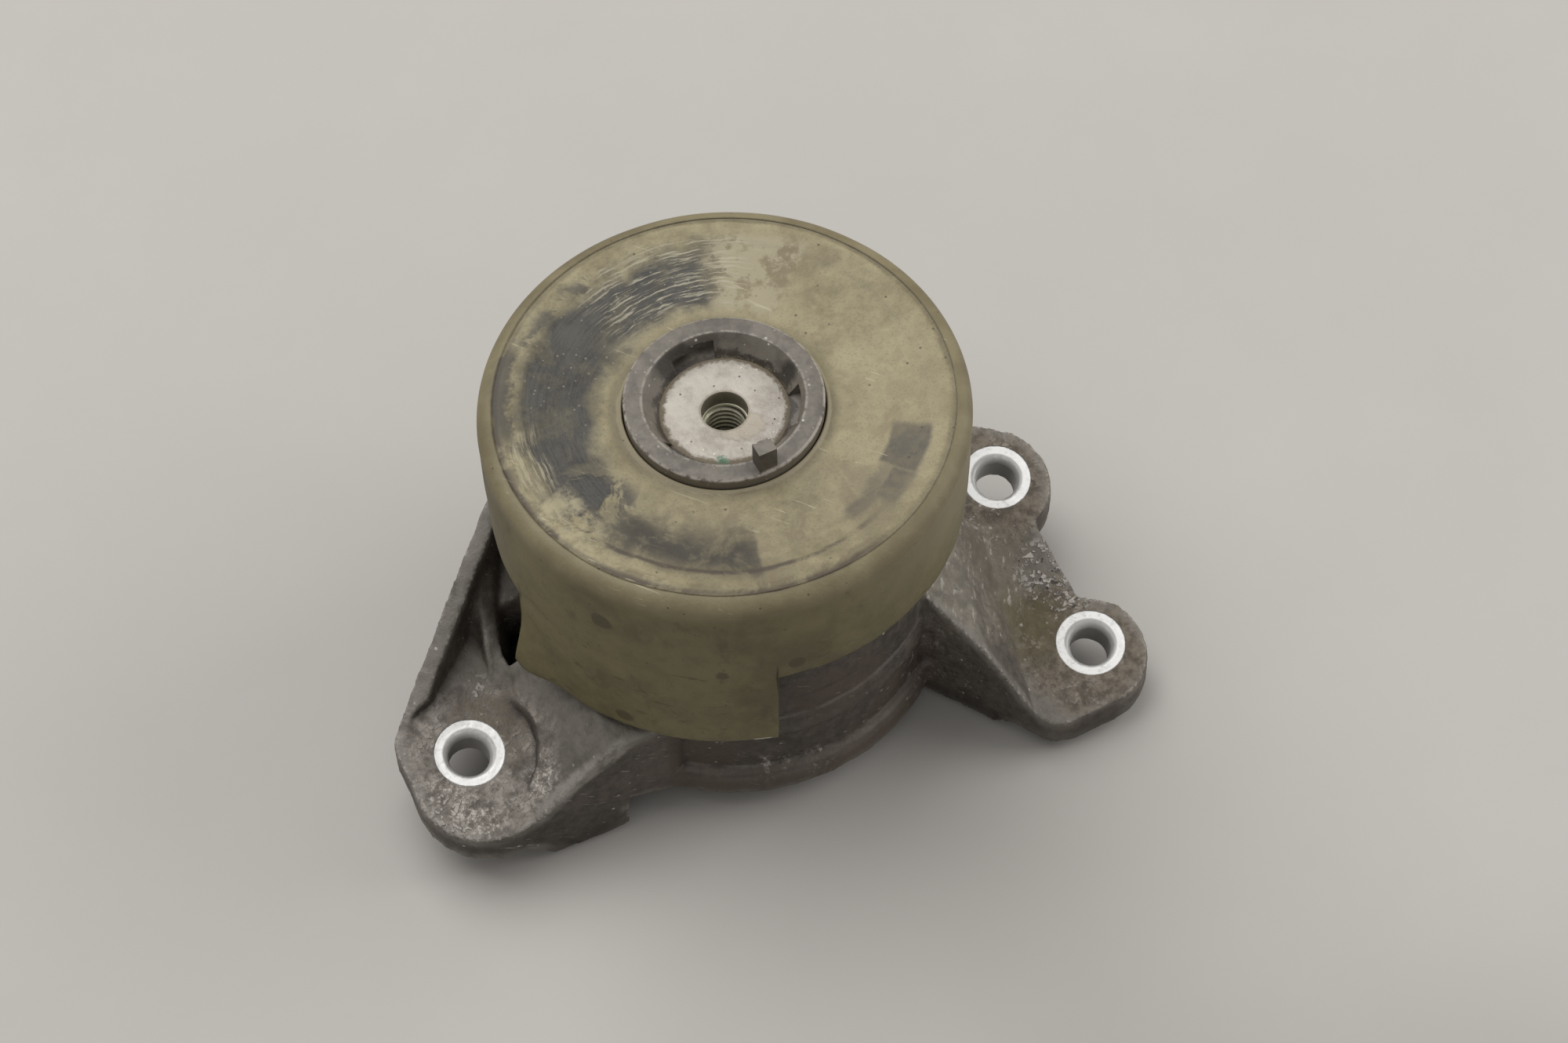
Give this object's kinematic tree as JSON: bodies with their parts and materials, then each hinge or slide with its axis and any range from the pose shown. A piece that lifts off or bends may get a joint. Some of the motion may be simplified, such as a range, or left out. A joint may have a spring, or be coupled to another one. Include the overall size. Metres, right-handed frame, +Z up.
{
  "type": "engine mount",
  "caption": "Hydraulic engine mount: a round rubber-sprung body in a cast bracket with bolt-down ears, a dished heat shield cap on top and a threaded core in a locating ring.",
  "frame": {"origin": "centre of the flat bottom the mount stands on, on the mount's own axis", "axes": "+Z up along the body's axis out of the threaded core, +X towards the pair of ears, -X towards the single ear, -Y the way the ears lean down"},
  "size_m": [0.1701, 0.1196, 0.1015],
  "materials": {
    "bracket": "rough, stained casting",
    "cap": "dirty moulded plastic, scuffed",
    "ring": "moulded, satin",
    "core": "machined, dented face",
    "insert": "threaded, dull",
    "plate": "pressed",
    "rubber": "moulded, matt",
    "channel": "die cast",
    "cup": "black coated sheet"
  },
  "bodies": {
    "root": {"bracket": "bracket", "heat_shield_cap": "cap", "locating_ring": "ring", "core": "core", "thread_insert": "insert", "stop_plate": "plate", "bump_buffer": "rubber", "main_spring": "rubber", "spring_sleeve": "plate", "rebound_disc": "plate", "upper_channel_plate": "channel", "lower_channel_plate": "channel", "decoupler_disc": "rubber", "channel_seal": "rubber", "bellows": "rubber", "bellows_ring": "plate", "bottom_cup": "cup", "snap_ring": "insert"}
  },
  "joints": []
}
